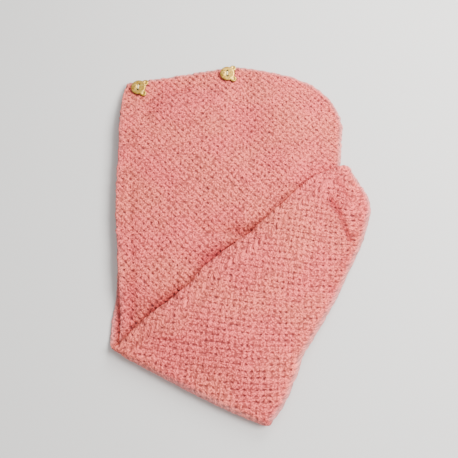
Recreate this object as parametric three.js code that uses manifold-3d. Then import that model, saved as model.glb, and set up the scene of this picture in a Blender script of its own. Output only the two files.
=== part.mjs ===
// Hair turban towel of plush fabric, laid flat and folded once.
// Two panels of one outline are sewn together round every edge but the mouth, which takes the head.
// The wide end is the hood. The narrow end, the tail, is folded up over the hood.
// Millimetres, +Z up. Seen from above, the mouth runs up the left side: +X runs from the mouth to the
// closed side of the hood, and +Y runs from the folded corner up the mouth to the top edge.

import * as THREE from 'three';
import { mergeVertices } from 'three/addons/utils/BufferGeometryUtils.js';
import Module from 'manifold-3d';

const wasm = await Module();
wasm.setup();

// Main sizes
const CAP_WIDTH = 252;        // mouth to the closed side of the hood
const MOUTH_LENGTH = 302;     // along the open edge
const TAIL_REACH = 281;       // fold to the far corner of the tip, square to the fold
const FOLD_BOW = 3;           // how far the fold bulges
const FOLD_BOW_FADE = 60;     // distance over which that bulge dies away

// Fabric and the space between its layers
const FABRIC = 3.2;           // one panel with its pile
const SEAM_GAP = 0.8;         // between the panels just inside a seam and along the fold
const SEAM_CLEARANCE = 0.3;   // between the rims of the panels at a seam
const HOOD_GAP = 7.5;         // between the panels in the middle of the hood and at the mouth
const HOOD_RISE = 60;         // distance from a seam over which the hood opens to that
const TAIL_GAP = 3.2;         // between the panels in the middle of the tail
const TAIL_RISE = 32;         // distance from a seam over which the tail opens to that
const LAYER_GAP = 1.2;        // between the hood and the tail that lies on it
const SEAM_ROLL = 7;          // width of the rounding at a sewn edge
const HEM_WIDTH = 14.5;       // mouth edge to its stitched groove
const HEM_DEPTH = 0.8;        // depth of that groove on each face
const HEM_SPREAD = 2.2;       // half width of that groove
const DRAPE = 22;             // how far past the hood the tail reaches the table
const TABLE_CLEARANCE = 0.3;  // tail or loop to the table

// Buttons and their thread
const BUTTON_WIDE = 18.0;     // head, across the ears
const BUTTON_TALL = 16.6;     // head, chin to brow
const BUTTON_THICK = 2.8;
const BUTTON_EDGE = 0.7;      // rounding of its edges
const EAR_DIAMETER = 7.2;
const EAR_THICK = 2.3;
const EAR_SPREAD = 7.1;       // middle of the head to an ear, sideways
const EAR_RISE = 6.8;         // middle of the head to an ear, towards the brow
const HOLLOW_DIAMETER = 4.6;  // the round hollow in each ear
const HOLLOW_DEPTH = 0.6;
const HOLLOW_SHIFT = 0.6;     // middle of an ear to its hollow, away from the head
const MUZZLE_WIDE = 7.8;
const MUZZLE_TALL = 5.7;
const MUZZLE_RISE = 0.5;      // how proud the muzzle stands
const MUZZLE_MARGIN = 0.95;   // muzzle to the edge of the chin
const EYE_DIAMETER = 2.4;     // the two sewing holes
const EYE_SPACING = 6.2;
const THREAD_CLEARANCE = 0.3; // thread to the hole and to the face of the button
const BUTTON_INSET = 11.2;    // middle of a button to the top edge
const BUTTON_CLEARANCE = 0.3; // button to the fabric under it

// Elastic loop under the tip
const LOOP_LENGTH = 30;
const LOOP_WIDTH = 17;
const LOOP_BAND = 4;
const LOOP_THICK = 1.4;

// Sections of the hood, from the top edge down to the fold. Each runs from a point of the open edge to
// one of the closed side. X is a share of CAP_WIDTH and Y of MOUTH_LENGTH. Lip is how far the upper
// panel stops short of the lower one there, as a share of CAP_WIDTH.
const HOOD_SECTIONS = [
  { openX: 0.024, openY: 1.004, sideX: 0.519, sideY: 1.079, lip: 0.000 },
  { openX: 0.013, openY: 0.973, sideX: 0.630, sideY: 1.064, lip: 0.000 },
  { openX: 0.005, openY: 0.930, sideX: 0.770, sideY: 1.036, lip: 0.000 },
  { openX: 0.003, openY: 0.877, sideX: 0.886, sideY: 0.988, lip: 0.000 },
  { openX: 0.003, openY: 0.805, sideX: 0.963, sideY: 0.919, lip: 0.000 },
  { openX: 0.006, openY: 0.719, sideX: 0.999, sideY: 0.828, lip: 0.000 },
  { openX: 0.008, openY: 0.619, sideX: 0.990, sideY: 0.733, lip: 0.000 },
  { openX: 0.009, openY: 0.497, sideX: 0.977, sideY: 0.619, lip: 0.000 },
  { openX: 0.020, openY: 0.374, sideX: 0.963, sideY: 0.487, lip: 0.002 },
  { openX: 0.028, openY: 0.258, sideX: 0.940, sideY: 0.331, lip: 0.009 },
  { openX: 0.028, openY: 0.156, sideX: 0.856, sideY: 0.139, lip: 0.020 },
  { openX: 0.018, openY: 0.073, sideX: 0.749, sideY: -0.060, lip: 0.037 },
  { openX: 0.016, openY: 0.010, sideX: 0.658, sideY: -0.241, lip: 0.043 },
];

// Sections of the tail, from the fold to the tip. Reach is the distance from the fold as a share of
// TAIL_REACH, and along is measured down the fold from the mouth as a share of the fold's length.
const TAIL_SECTIONS = [
  { innerReach: 0.000, innerAlong: 0.063, outerReach: 0.000, outerAlong: 1.000 },
  { innerReach: 0.112, innerAlong: 0.124, outerReach: 0.058, outerAlong: 1.024 },
  { innerReach: 0.208, innerAlong: 0.204, outerReach: 0.133, outerAlong: 1.025 },
  { innerReach: 0.304, innerAlong: 0.271, outerReach: 0.192, outerAlong: 1.023 },
  { innerReach: 0.402, innerAlong: 0.311, outerReach: 0.239, outerAlong: 1.012 },
  { innerReach: 0.498, innerAlong: 0.390, outerReach: 0.311, outerAlong: 1.028 },
  { innerReach: 0.597, innerAlong: 0.467, outerReach: 0.404, outerAlong: 1.048 },
  { innerReach: 0.709, innerAlong: 0.535, outerReach: 0.512, outerAlong: 1.063 },
  { innerReach: 0.820, innerAlong: 0.603, outerReach: 0.634, outerAlong: 1.072 },
  { innerReach: 0.906, innerAlong: 0.671, outerReach: 0.730, outerAlong: 1.074 },
  { innerReach: 0.954, innerAlong: 0.733, outerReach: 0.828, outerAlong: 1.056 },
  { innerReach: 0.988, innerAlong: 0.783, outerReach: 0.876, outerAlong: 1.040 },
  { innerReach: 0.994, innerAlong: 0.835, outerReach: 0.916, outerAlong: 0.997 },
];

// Dents and swells, each along a line. X and width are shares of CAP_WIDTH and Y of MOUTH_LENGTH.
// Squeeze is the share of the space between the panels that goes there, and is negative on a swell.
const HOOD_DENTS = [
  { fromX: 0.551, fromY: 1.060, toX: 0.563, toY: 0.728, width: 0.075, squeeze: 0.45 },
  { fromX: 0.162, fromY: 0.993, toX: 0.384, toY: 0.983, width: 0.035, squeeze: 0.55 },
  { fromX: 0.118, fromY: 0.927, toX: 0.126, toY: 0.844, width: 0.050, squeeze: 0.30 },
  { fromX: 0.344, fromY: 0.407, toX: 0.575, toY: 0.391, width: 0.030, squeeze: 0.55 },
  { fromX: 0.285, fromY: 0.281, toX: 0.436, toY: 0.305, width: 0.030, squeeze: 0.35 },
  { fromX: 0.780, fromY: 0.900, toX: 0.760, toY: 0.620, width: 0.110, squeeze: -0.22 },
];
const TAIL_DENTS = [
  { fromX: 0.940, fromY: 0.517, toX: 1.011, toY: 0.384, width: 0.028, squeeze: 0.90 },
  { fromX: 1.011, fromY: 0.384, toX: 0.944, toY: 0.248, width: 0.055, squeeze: 0.60 },
  { fromX: 0.967, fromY: 0.613, toX: 0.999, toY: 0.536, width: 0.022, squeeze: 0.60 },
  { fromX: 0.805, fromY: 0.030, toX: 0.729, toY: -0.036, width: 0.022, squeeze: 0.70 },
  { fromX: 0.729, fromY: -0.036, toX: 0.702, toY: -0.093, width: 0.022, squeeze: 0.50 },
];

// Buttons: share of the top edge from the mouth, and the turn of the brow from +X, in degrees
const BUTTONS = [
  { name: 'corner_button', along: 0.094, turn: -7 },
  { name: 'crown_button', along: 0.912, turn: 2 },
];

// The loop's root and a point that it runs towards, in the shares of the tail's sections
const LOOP_ROOT = { reach: 0.934, along: 0.905 };
const LOOP_AIM = { reach: 0.829, along: 0.936 };

// How finely the panels are divided
const HOOD_STEPS = [0, 0.06, 0.16, 0.34, 0.62, 1, 1.5, 2, 3, 4, 5, 6, 6.5, 7, 7.5, 8, 9, 10, 11, 12];
const TAIL_STEPS = [
  0, 1, 2, 2.5, 3, 3.5, 4, 5, 6, 7, 7.5, 8, 8.5, 9, 9.5, 10, 10.5, 11, 11.5, 11.78, 11.93, 12,
];
const BEND_STEPS = 6;
const OPEN_COLUMNS = [
  0, 0.15 * FABRIC, 0.5 * FABRIC, 0.3 * HEM_WIDTH, 0.55 * HEM_WIDTH,
  HEM_WIDTH - HEM_SPREAD, HEM_WIDTH, HEM_WIDTH + HEM_SPREAD,
];
const SEWN_COLUMNS = [0, 0.07 * SEAM_ROLL, 0.23 * SEAM_ROLL, 0.5 * SEAM_ROLL, SEAM_ROLL, 2 * SEAM_ROLL];
const MIDDLE_COLUMNS = 13;
const ENDS_SHARE = 0.75;      // most of a section that its open and sewn columns take
const BUTTON_SIDES = 24;
const EAR_SIDES = 16;
const EYE_SIDES = 10;
const DOME_RINGS = 6;
const LOOP_SIDES = 10;        // in each half turn
const SAME_POINT = 1e-5;      // corners closer than this are one

// Materials
const plush = new THREE.MeshStandardMaterial({ color: '#e8a19c', roughness: 0.95, metalness: 0 });
const gold = new THREE.MeshStandardMaterial({ color: '#d8b878', roughness: 0.35, metalness: 1 });
const cotton = new THREE.MeshStandardMaterial({ color: '#f3e6c4', roughness: 0.85, metalness: 0 });
const elastic = new THREE.MeshStandardMaterial({ color: '#dc938f', roughness: 0.8, metalness: 0 });

// Small measures

const lerp = THREE.MathUtils.lerp;

// 0 at 0 and below, 1 at 1 and above, smooth between
function rise(x) {
  return THREE.MathUtils.smoothstep(x, 0, 1);
}

// Quarter of an ellipse: 0 at 0 and below, 1 at 1 and above
function quarter(x) {
  const t = THREE.MathUtils.clamp(x, 0, 1);
  return Math.sqrt(1 - (1 - t) * (1 - t));
}

function inPlan(shareX, shareY) {
  return new THREE.Vector2(shareX * CAP_WIDTH, shareY * MOUTH_LENGTH);
}

// Distance from a point to one straight stretch
function stretchDistance(point, from, to) {
  const run = to.clone().sub(from);
  const reach = point.clone().sub(from);
  const along = THREE.MathUtils.clamp(reach.dot(run) / run.lengthSq(), 0, 1);
  return reach.addScaledVector(run, -along).length();
}

// Distance from a point to a line of many stretches
function lineDistance(point, line) {
  let nearest = Infinity;
  for (let i = 1; i < line.length; i += 1) {
    nearest = Math.min(nearest, stretchDistance(point, line[i - 1], line[i]));
  }
  return nearest;
}

// Whether a point lies inside a closed outline: an upright line above it crosses an odd number of sides
function isInside(point, outline) {
  let inside = false;
  outline.forEach((a, i) => {
    const b = outline[(i + 1) % outline.length];
    const crosses = (a.x > point.x) !== (b.x > point.x);
    if (crosses && point.y < a.y + ((b.y - a.y) * (point.x - a.x)) / (b.x - a.x)) {
      inside = !inside;
    }
  });
  return inside;
}

// Plan of the hood

const hoodOpen = new THREE.SplineCurve(HOOD_SECTIONS.map((row) => inPlan(row.openX, row.openY)));
const hoodSide = new THREE.SplineCurve(HOOD_SECTIONS.map((row) => inPlan(row.sideX, row.sideY)));
const lastHood = HOOD_SECTIONS.length - 1;

// The two ends of a section of the hood. Its place is a row number, with fractions between rows.
function hoodEnds(place, isUpper) {
  const open = hoodOpen.getPoint(place / lastHood);
  const side = hoodSide.getPoint(place / lastHood);
  if (isUpper) {
    const row = Math.min(Math.floor(place), lastHood - 1);
    const lip = lerp(HOOD_SECTIONS[row].lip, HOOD_SECTIONS[row + 1].lip, place - row) * CAP_WIDTH;
    open.lerp(side, lip / open.distanceTo(side));
  }
  return [open, side];
}

// Plan of the fold and the tail

const [foldStart, foldEnd] = hoodEnds(lastHood, false);
const foldLength = foldStart.distanceTo(foldEnd);
const alongFold = foldEnd.clone().sub(foldStart).normalize();
const acrossFold = new THREE.Vector2(-alongFold.y, alongFold.x);

function foldDistance(point) {
  return point.clone().sub(foldStart).dot(acrossFold);
}

function inFold(reachShare, alongShare) {
  return foldStart.clone()
    .addScaledVector(acrossFold, reachShare * TAIL_REACH)
    .addScaledVector(alongFold, alongShare * foldLength);
}

const tailInner = new THREE.SplineCurve(TAIL_SECTIONS.map((row) => inFold(row.innerReach, row.innerAlong)));
const tailOuter = new THREE.SplineCurve(TAIL_SECTIONS.map((row) => inFold(row.outerReach, row.outerAlong)));
const lastTail = TAIL_SECTIONS.length - 1;

function tailEnds(place) {
  return [tailInner.getPoint(place / lastTail), tailOuter.getPoint(place / lastTail)];
}

// A point moved by the bulge of the fold, which is none at both ends and most two thirds of the way
// down it, where the product below reaches 4 / 27. It dies away on both sides of the fold.
function bulged(point) {
  const along = THREE.MathUtils.clamp(point.clone().sub(foldStart).dot(alongFold) / foldLength, 0, 1);
  const bow = (27 / 4) * along * along * (1 - along);
  const near = 1 - rise(foldDistance(point) / FOLD_BOW_FADE);
  return point.clone().addScaledVector(acrossFold, -FOLD_BOW * bow * near);
}

// Outlines that distances are measured to
const hoodOpenLine = HOOD_STEPS.map((place) => bulged(hoodEnds(place, false)[0]));
const upperOpenLine = HOOD_STEPS.map((place) => bulged(hoodEnds(place, true)[0]));
const hoodSideLine = HOOD_STEPS.map((place) => bulged(hoodEnds(place, false)[1]));
const hoodSeam = [hoodOpenLine[0], ...hoodSideLine];
const pastFold = [foldStart, foldEnd].map((end) => end.clone().addScaledVector(acrossFold, -FOLD_BOW_FADE));
const hoodOutline = [...hoodOpenLine, ...pastFold, ...hoodSideLine.slice().reverse()];
const tailInnerLine = TAIL_STEPS.map((place) => bulged(tailEnds(place)[0]));
const tailOuterLine = TAIL_STEPS.map((place) => bulged(tailEnds(place)[1]));
const tailSeam = [...tailInnerLine, ...tailOuterLine.slice().reverse()];
const foldTack = [foldStart, tailInnerLine[0]];

// Heights

// Share of the space between the panels that the dents take at a point
function squeezeAt(point, dents) {
  let squeeze = 0;
  for (const dent of dents) {
    const away = stretchDistance(point, inPlan(dent.fromX, dent.fromY), inPlan(dent.toX, dent.toY));
    const spread = away / (dent.width * CAP_WIDTH);
    squeeze += dent.squeeze * Math.exp(-spread * spread);
  }
  return Math.min(squeeze, 1);
}

// Space between the panels: SEAM_GAP at seams and fold, opening to its full height over a distance
function pocketAt(point, seamDistance, fullGap, distance, dents) {
  const open = rise(seamDistance / distance) * rise(foldDistance(point) / distance);
  return SEAM_GAP + (fullGap - SEAM_GAP) * open * (1 - squeezeAt(point, dents));
}

// The four faces of two panels that lie on each other, from the lowest up. Towards a sewn edge their
// outer faces round over to meet at the seam, and their inner faces close on it.
function stackFaces(base, pocket, seamDistance) {
  const seam = base + FABRIC + SEAM_GAP / 2;
  const lowRim = seam - SEAM_CLEARANCE / 2;
  const highRim = seam + SEAM_CLEARANCE / 2;
  const outer = quarter(seamDistance / SEAM_ROLL);
  const inner = quarter((seamDistance - FABRIC) / SEAM_ROLL);
  return [
    lerp(lowRim, base, outer),
    lerp(lowRim, base + FABRIC, inner),
    lerp(highRim, base + FABRIC + pocket, inner),
    lerp(highRim, base + 2 * FABRIC + pocket, outer),
  ];
}

function hoodSeamDistance(point) {
  return Math.min(lineDistance(point, hoodSeam), lineDistance(point, foldTack));
}

// Height of the hood's top face, without the rounding at its edge
function hoodCrown(point, seamDistance) {
  return 2 * FABRIC + pocketAt(point, seamDistance, HOOD_GAP, HOOD_RISE, HOOD_DENTS);
}

// Faces of the hood at a point. Each panel ends at the mouth in a round hem with a stitched groove.
function hoodFaces(point, openLine) {
  const seamDistance = hoodSeamDistance(point);
  const pocket = pocketAt(point, seamDistance, HOOD_GAP, HOOD_RISE, HOOD_DENTS);
  const [low, lowInner, highInner, high] = stackFaces(0, pocket, seamDistance);
  const openDistance = lineDistance(point, openLine);
  const round = quarter((2 * openDistance) / FABRIC);
  const across = (openDistance - HEM_WIDTH) / HEM_SPREAD;
  const groove = HEM_DEPTH * Math.exp(-across * across) * quarter(seamDistance / HOOD_RISE);
  const lowMiddle = (low + lowInner) / 2;
  const highMiddle = (high + highInner) / 2;
  return [
    lerp(lowMiddle, low + groove, round),
    lerp(lowMiddle, lowInner, round),
    lerp(highMiddle, highInner, round),
    lerp(highMiddle, high - groove, round),
  ];
}

// The loop lies under the tip, which rests on it there
const loopRoot = inFold(LOOP_ROOT.reach, LOOP_ROOT.along);
const loopWay = inFold(LOOP_AIM.reach, LOOP_AIM.along).sub(loopRoot).normalize();
const loopEnd = loopRoot.clone().addScaledVector(loopWay, LOOP_LENGTH);

// Height of the tail's underside: on the hood, then down to the table past the hood's edge
function tailBase(point) {
  const edgeDistance = lineDistance(point, hoodSeam);
  const over = isInside(point, hoodOutline) ? edgeDistance : -edgeDistance;
  const crown = hoodCrown(point, over > 0 ? hoodSeamDistance(point) : 0) + LAYER_GAP;
  const drape = lerp(TABLE_CLEARANCE, crown, rise((over + DRAPE) / (DRAPE + SEAM_ROLL / 2)));
  const besideLoop = stretchDistance(point, loopRoot, loopEnd) - LOOP_WIDTH / 2;
  const onLoop = LOOP_THICK + 2 * TABLE_CLEARANCE;
  const lifted = lerp(onLoop, TABLE_CLEARANCE, rise(besideLoop / LOOP_WIDTH));
  return Math.max(drape, lifted);
}

function tailFaces(point) {
  const seamDistance = lineDistance(point, tailSeam);
  const pocket = pocketAt(point, seamDistance, TAIL_GAP, TAIL_RISE, TAIL_DENTS);
  return stackFaces(tailBase(point), pocket, seamDistance);
}

// Panels

// Places along a section, in shares of its length: fixed distances near both ends, even between
function columnShares(length) {
  const openReach = OPEN_COLUMNS.at(-1);
  const sewnReach = SEWN_COLUMNS.at(-1);
  const fit = Math.min(1, (ENDS_SHARE * length) / (openReach + sewnReach));
  const first = OPEN_COLUMNS.map((distance) => (distance * fit) / length);
  const last = SEWN_COLUMNS.map((distance) => 1 - (distance * fit) / length).reverse();
  const middle = [];
  for (let i = 1; i < MIDDLE_COLUMNS; i += 1) {
    middle.push(lerp(first.at(-1), last[0], i / MIDDLE_COLUMNS));
  }
  return [...first, ...middle, ...last];
}

// Points of one section in plan
function sectionPoints([from, to]) {
  return columnShares(from.distanceTo(to)).map((share) => bulged(from.clone().lerp(to, share)));
}

// A point of the bend: half a turn up from the hood's face to the tail's, bulging out of the fold
function bendPoint(from, to, turn) {
  const radius = (to.z - from.z) / 2;
  const bulge = radius * Math.sin(turn * Math.PI);
  const point = from.clone().lerp(to, turn);
  point.x -= acrossFold.x * bulge;
  point.y -= acrossFold.y * bulge;
  point.z = from.z + radius * (1 - Math.cos(turn * Math.PI));
  return point;
}

// One panel as rows of points for its outer and its inner face. The lower panel of the hood goes round
// the outside of the fold and is the upper one on the tail.
function panelRows(isUpper) {
  const openLine = isUpper ? upperOpenLine : hoodOpenLine;
  const [hoodOuter, hoodInner] = isUpper ? [3, 2] : [0, 1];
  const pair = (plan, outer, inner) => ({
    outer: new THREE.Vector3(plan.x, plan.y, outer),
    inner: new THREE.Vector3(plan.x, plan.y, inner),
  });
  const hood = HOOD_STEPS.map((place) => sectionPoints(hoodEnds(place, isUpper)).map((plan) => {
    const faces = hoodFaces(plan, openLine);
    return pair(plan, faces[hoodOuter], faces[hoodInner]);
  }));
  const tail = TAIL_STEPS.map((place) => sectionPoints(tailEnds(place)).map((plan) => {
    const faces = tailFaces(plan);
    return pair(plan, faces[3 - hoodOuter], faces[3 - hoodInner]);
  }));
  const bend = [];
  for (let i = 1; i < BEND_STEPS; i += 1) {
    bend.push(hood.at(-1).map((start, column) => ({
      outer: bendPoint(start.outer, tail[0][column].outer, i / BEND_STEPS),
      inner: bendPoint(start.inner, tail[0][column].inner, i / BEND_STEPS),
    })));
  }
  return [...hood, ...bend, ...tail];
}

// One closed mesh from a panel's rows. The two faces share the points along the panel's edge.
function panelGeometry(rows, facesUp) {
  const positions = [];
  const lastRow = rows.length - 1;
  const lastColumn = rows[0].length - 1;
  const addFace = (face, shared) => rows.map((row, i) => row.map((spot, j) => {
    const onEdge = i === 0 || i === lastRow || j === 0 || j === lastColumn;
    if (shared && onEdge) {
      return shared[i][j];
    }
    positions.push(spot[face].x, spot[face].y, spot[face].z);
    return positions.length / 3 - 1;
  }));
  const outer = addFace('outer', null);
  const inner = addFace('inner', outer);
  const triangles = [];
  const addTriangles = (grid, up) => {
    for (let i = 0; i < lastRow; i += 1) {
      for (let j = 0; j < lastColumn; j += 1) {
        const [a, b, c, d] = [grid[i][j], grid[i + 1][j], grid[i + 1][j + 1], grid[i][j + 1]];
        triangles.push(...(up ? [a, b, c, a, c, d] : [a, c, b, a, d, c]));
      }
    }
  };
  addTriangles(outer, facesUp);
  addTriangles(inner, !facesUp);
  const geometry = new THREE.BufferGeometry();
  geometry.setAttribute('position', new THREE.Float32BufferAttribute(positions, 3));
  geometry.setIndex(triangles);
  geometry.computeVertexNormals();
  return geometry;
}

function makePanel(name, isUpper) {
  const mesh = new THREE.Mesh(panelGeometry(panelRows(isUpper), isUpper), plush);
  mesh.name = name;
  return mesh;
}

// Joining and cutting

function toSolid(geometry) {
  const bare = geometry.clone();
  bare.deleteAttribute('normal');
  bare.deleteAttribute('uv');
  const merged = mergeVertices(bare, SAME_POINT);
  return new wasm.Manifold(new wasm.Mesh({
    numProp: 3,
    vertProperties: new Float32Array(merged.attributes.position.array),
    triVerts: new Uint32Array(merged.index.array),
  }));
}

function toGeometry(solid) {
  const mesh = solid.getMesh();
  const geometry = new THREE.BufferGeometry();
  geometry.setAttribute('position', new THREE.BufferAttribute(new Float32Array(mesh.vertProperties), 3));
  geometry.setIndex(new THREE.BufferAttribute(new Uint32Array(mesh.triVerts), 1));
  geometry.computeVertexNormals();
  return geometry;
}

// Buttons

// A round plate with softened edges, its underside at z = 0
function plate(diameter, thick, sides) {
  const radius = diameter / 2;
  const profile = [
    [0, 0], [radius - BUTTON_EDGE, 0], [radius, BUTTON_EDGE], [radius, thick - BUTTON_EDGE],
    [radius - BUTTON_EDGE, thick], [0, thick],
  ];
  const outline = profile.map(([across, up]) => new THREE.Vector2(across, up));
  return new THREE.LatheGeometry(outline, sides).rotateX(Math.PI / 2);
}

// A button like a bear's head, its brow towards +X and its middle at the origin. The two sewing holes
// are its eyes, each ear has a round hollow, and the muzzle is a low oval near the chin.
function buttonGeometry() {
  const dome = () => new THREE.SphereGeometry(1, EAR_SIDES, DOME_RINGS).rotateX(Math.PI / 2);
  let body = toSolid(plate(BUTTON_WIDE, BUTTON_THICK, BUTTON_SIDES).scale(BUTTON_TALL / BUTTON_WIDE, 1, 1));
  for (const side of [-1, 1]) {
    const ear = plate(EAR_DIAMETER, EAR_THICK, EAR_SIDES).translate(EAR_RISE, side * EAR_SPREAD, 0);
    body = body.add(toSolid(ear));
  }
  const hollowOut = 1 + HOLLOW_SHIFT / Math.hypot(EAR_RISE, EAR_SPREAD);
  const eyeRadius = EYE_DIAMETER / 2;
  for (const side of [-1, 1]) {
    const hollow = dome()
      .scale(HOLLOW_DIAMETER / 2, HOLLOW_DIAMETER / 2, HOLLOW_DEPTH)
      .translate(EAR_RISE * hollowOut, side * EAR_SPREAD * hollowOut, EAR_THICK);
    const eye = new THREE.CylinderGeometry(eyeRadius, eyeRadius, 3 * BUTTON_THICK, EYE_SIDES)
      .rotateX(Math.PI / 2)
      .translate(0, (side * EYE_SPACING) / 2, 0);
    body = body.subtract(toSolid(hollow)).subtract(toSolid(eye));
  }
  const muzzle = dome()
    .scale(MUZZLE_TALL / 2, MUZZLE_WIDE / 2, MUZZLE_RISE)
    .translate((MUZZLE_TALL - BUTTON_TALL) / 2 + MUZZLE_MARGIN, 0, BUTTON_THICK);
  return toGeometry(body.add(toSolid(muzzle)));
}

// The sewing thread: a bar over the face with a leg down through each hole to the fabric
function threadGeometry(legEnds) {
  const radius = EYE_DIAMETER / 2 - THREAD_CLEARANCE;
  const middle = BUTTON_THICK + THREAD_CLEARANCE + radius;
  const length = EYE_SPACING + 2 * radius;
  let thread = toSolid(new THREE.CylinderGeometry(radius, radius, length, EYE_SIDES));
  thread = thread.translate([0, 0, middle]);
  legEnds.forEach((bottom, i) => {
    const leg = new THREE.CylinderGeometry(radius, radius, middle - bottom, EYE_SIDES)
      .rotateX(Math.PI / 2)
      .translate(0, ((i === 0 ? -1 : 1) * EYE_SPACING) / 2, (middle + bottom) / 2);
    thread = thread.add(toSolid(leg));
  });
  return toGeometry(thread);
}

function hoodTopAt(point) {
  return hoodFaces(point, upperOpenLine)[3];
}

// A button and its thread, lying on the hood's top face
function makeButton({ name, along, turn }) {
  const edge = hoodSeam[1].clone().sub(hoodSeam[0]).normalize();
  const inward = new THREE.Vector2(edge.y, -edge.x);
  const middle = hoodSeam[0].clone().lerp(hoodSeam[1], along).addScaledVector(inward, BUTTON_INSET);
  const angle = THREE.MathUtils.degToRad(turn);
  const centre = new THREE.Vector2();
  const under = (x, y) => hoodTopAt(new THREE.Vector2(x, y).rotateAround(centre, angle).add(middle));
  const halfTall = BUTTON_TALL / 2;
  const halfWide = BUTTON_WIDE / 2;
  const seats = [
    [0, 0], [halfTall, 0], [-halfTall, 0], [0, halfWide], [0, -halfWide],
    [EAR_RISE, -EAR_SPREAD - EAR_DIAMETER / 2], [EAR_RISE + EAR_DIAMETER / 2, -EAR_SPREAD],
  ];
  const seat = Math.max(...seats.map(([x, y]) => under(x, y))) + BUTTON_CLEARANCE;
  const legEnds = [-1, 1].map((side) => under(0, (side * EYE_SPACING) / 2) + BUTTON_CLEARANCE - seat);
  const group = new THREE.Group();
  const button = new THREE.Mesh(buttonGeometry(), gold);
  button.name = name;
  const thread = new THREE.Mesh(threadGeometry(legEnds), cotton);
  thread.name = `${name}_thread`;
  group.add(button, thread);
  group.position.set(middle.x, middle.y, seat);
  group.rotation.z = angle;
  return group;
}

// Elastic loop: a flat ring with straight sides and round ends, lying under the tip

function ringOutline(half, radius, path) {
  path.absarc(0, half, radius, 0, Math.PI, false);
  path.absarc(0, -half, radius, Math.PI, 2 * Math.PI, false);
  return path;
}

function makeLoop() {
  const half = (LOOP_LENGTH - LOOP_WIDTH) / 2;
  const shape = ringOutline(half, LOOP_WIDTH / 2, new THREE.Shape());
  shape.holes.push(ringOutline(half, LOOP_WIDTH / 2 - LOOP_BAND, new THREE.Path()));
  const flat = { depth: LOOP_THICK, bevelEnabled: false, curveSegments: LOOP_SIDES };
  const mesh = new THREE.Mesh(new THREE.ExtrudeGeometry(shape, flat), elastic);
  mesh.name = 'fastening_loop';
  const middle = loopRoot.clone().lerp(loopEnd, 0.5);
  mesh.position.set(middle.x, middle.y, TABLE_CLEARANCE);
  mesh.rotation.z = loopWay.angle() + Math.PI / 2;
  return mesh;
}

// The whole towel, with the middle of its underside at the origin
const towel = new THREE.Group();
towel.add(makePanel('under_panel', false), makePanel('upper_panel', true));
towel.add(...BUTTONS.map(makeButton));
towel.add(makeLoop());
const box = new THREE.Box3().setFromObject(towel);
const boxCentre = box.getCenter(new THREE.Vector3());
towel.position.set(-boxCentre.x, -boxCentre.y, -box.min.z);

export default towel;
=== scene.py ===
import math

import bpy
import numpy as np
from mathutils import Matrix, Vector


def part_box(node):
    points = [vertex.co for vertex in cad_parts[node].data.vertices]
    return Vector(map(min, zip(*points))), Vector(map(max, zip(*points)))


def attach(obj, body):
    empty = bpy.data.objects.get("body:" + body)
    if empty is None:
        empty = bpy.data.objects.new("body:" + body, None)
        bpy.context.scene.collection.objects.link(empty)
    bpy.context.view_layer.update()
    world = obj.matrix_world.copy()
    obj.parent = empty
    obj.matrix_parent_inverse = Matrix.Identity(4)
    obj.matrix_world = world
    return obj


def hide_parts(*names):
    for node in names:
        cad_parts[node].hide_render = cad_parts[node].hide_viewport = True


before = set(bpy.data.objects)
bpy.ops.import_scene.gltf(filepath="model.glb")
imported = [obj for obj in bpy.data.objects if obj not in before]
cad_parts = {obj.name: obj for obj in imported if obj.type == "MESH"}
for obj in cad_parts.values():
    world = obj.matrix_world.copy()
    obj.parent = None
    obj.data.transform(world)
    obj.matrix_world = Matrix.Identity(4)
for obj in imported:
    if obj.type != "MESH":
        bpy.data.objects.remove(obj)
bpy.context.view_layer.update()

MM = 0.001

# Main sizes, in millimetres, as in the part
CAP_WIDTH = 252
MOUTH_LENGTH = 302
TAIL_REACH = 281
FOLD_BOW = 3
FOLD_BOW_FADE = 60

# Fabric and the space between its layers
FABRIC = 3.2
SEAM_GAP = 0.8
SEAM_CLEARANCE = 0.3
HOOD_GAP = 7.5
HOOD_RISE = 60
TAIL_GAP = 3.2
TAIL_RISE = 32
LAYER_GAP = 1.2
SEAM_ROLL = 7
HEM_WIDTH = 14.5
HEM_DEPTH = 0.8
HEM_SPREAD = 1.7
DRAPE = 22
TABLE_CLEARANCE = 0.3

# Buttons and thread
BUTTON_WIDE = 18.0
BUTTON_TALL = 16.6
BUTTON_THICK = 2.8
EAR_DIAMETER = 7.2
EAR_THICK = 2.3
EAR_SPREAD = 7.1
EAR_RISE = 6.8
HOLLOW_DIAMETER = 4.6
HOLLOW_DEPTH = 0.6
HOLLOW_SHIFT = 0.6
HOLLOW_STEEP = 1.4  # steepness of its side
MUZZLE_WIDE = 7.8
MUZZLE_TALL = 5.7
MUZZLE_RISE = 0.5
MUZZLE_MARGIN = 0.95
EYE_DIAMETER = 2.4
EYE_SPACING = 6.2
THREAD_CLEARANCE = 0.3
BUTTON_INSET = 11.2
BUTTON_DROP = 0.7  # how far a face falls at the rim
BUTTON_SLOPE = 1.7  # width of that fall
ON_RIM = 0.01  # how far past a rim a point still counts as on it
EYE_SLOPE = 0.4  # width of the softened edge of a sewing hole
EYE_DROP = 0.35  # depth of that edge
NOSE_TALL = 1.7
NOSE_WIDE = 2.4
NOSE_RISE = 0.35
NOSE_PLACE = 1.1  # middle of the muzzle to the nose, towards the brow
DENSE_TURNS = 4001  # points for measuring a button's outline
BUTTON_TURNS = 200  # points round a button
BUTTON_RINGS = 26  # rings inside its slope
SLOPE_RINGS = 8  # rings on the slope
STRANDS = 4
STRAND = 0.26  # radius of a strand
STRAND_STEP = 0.50  # from strand to strand on the face
STRAND_GATHER = 0.30  # how much less in the holes
STRAND_ARCH = 0.5  # how much the middle strands stand up, in radii
STRAND_SIDES = 10
THREAD_IN = 0.75  # middle of a hole to the thread in it, towards the other hole
THREAD_BEND = 0.5  # radius of its turn into a hole
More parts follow.
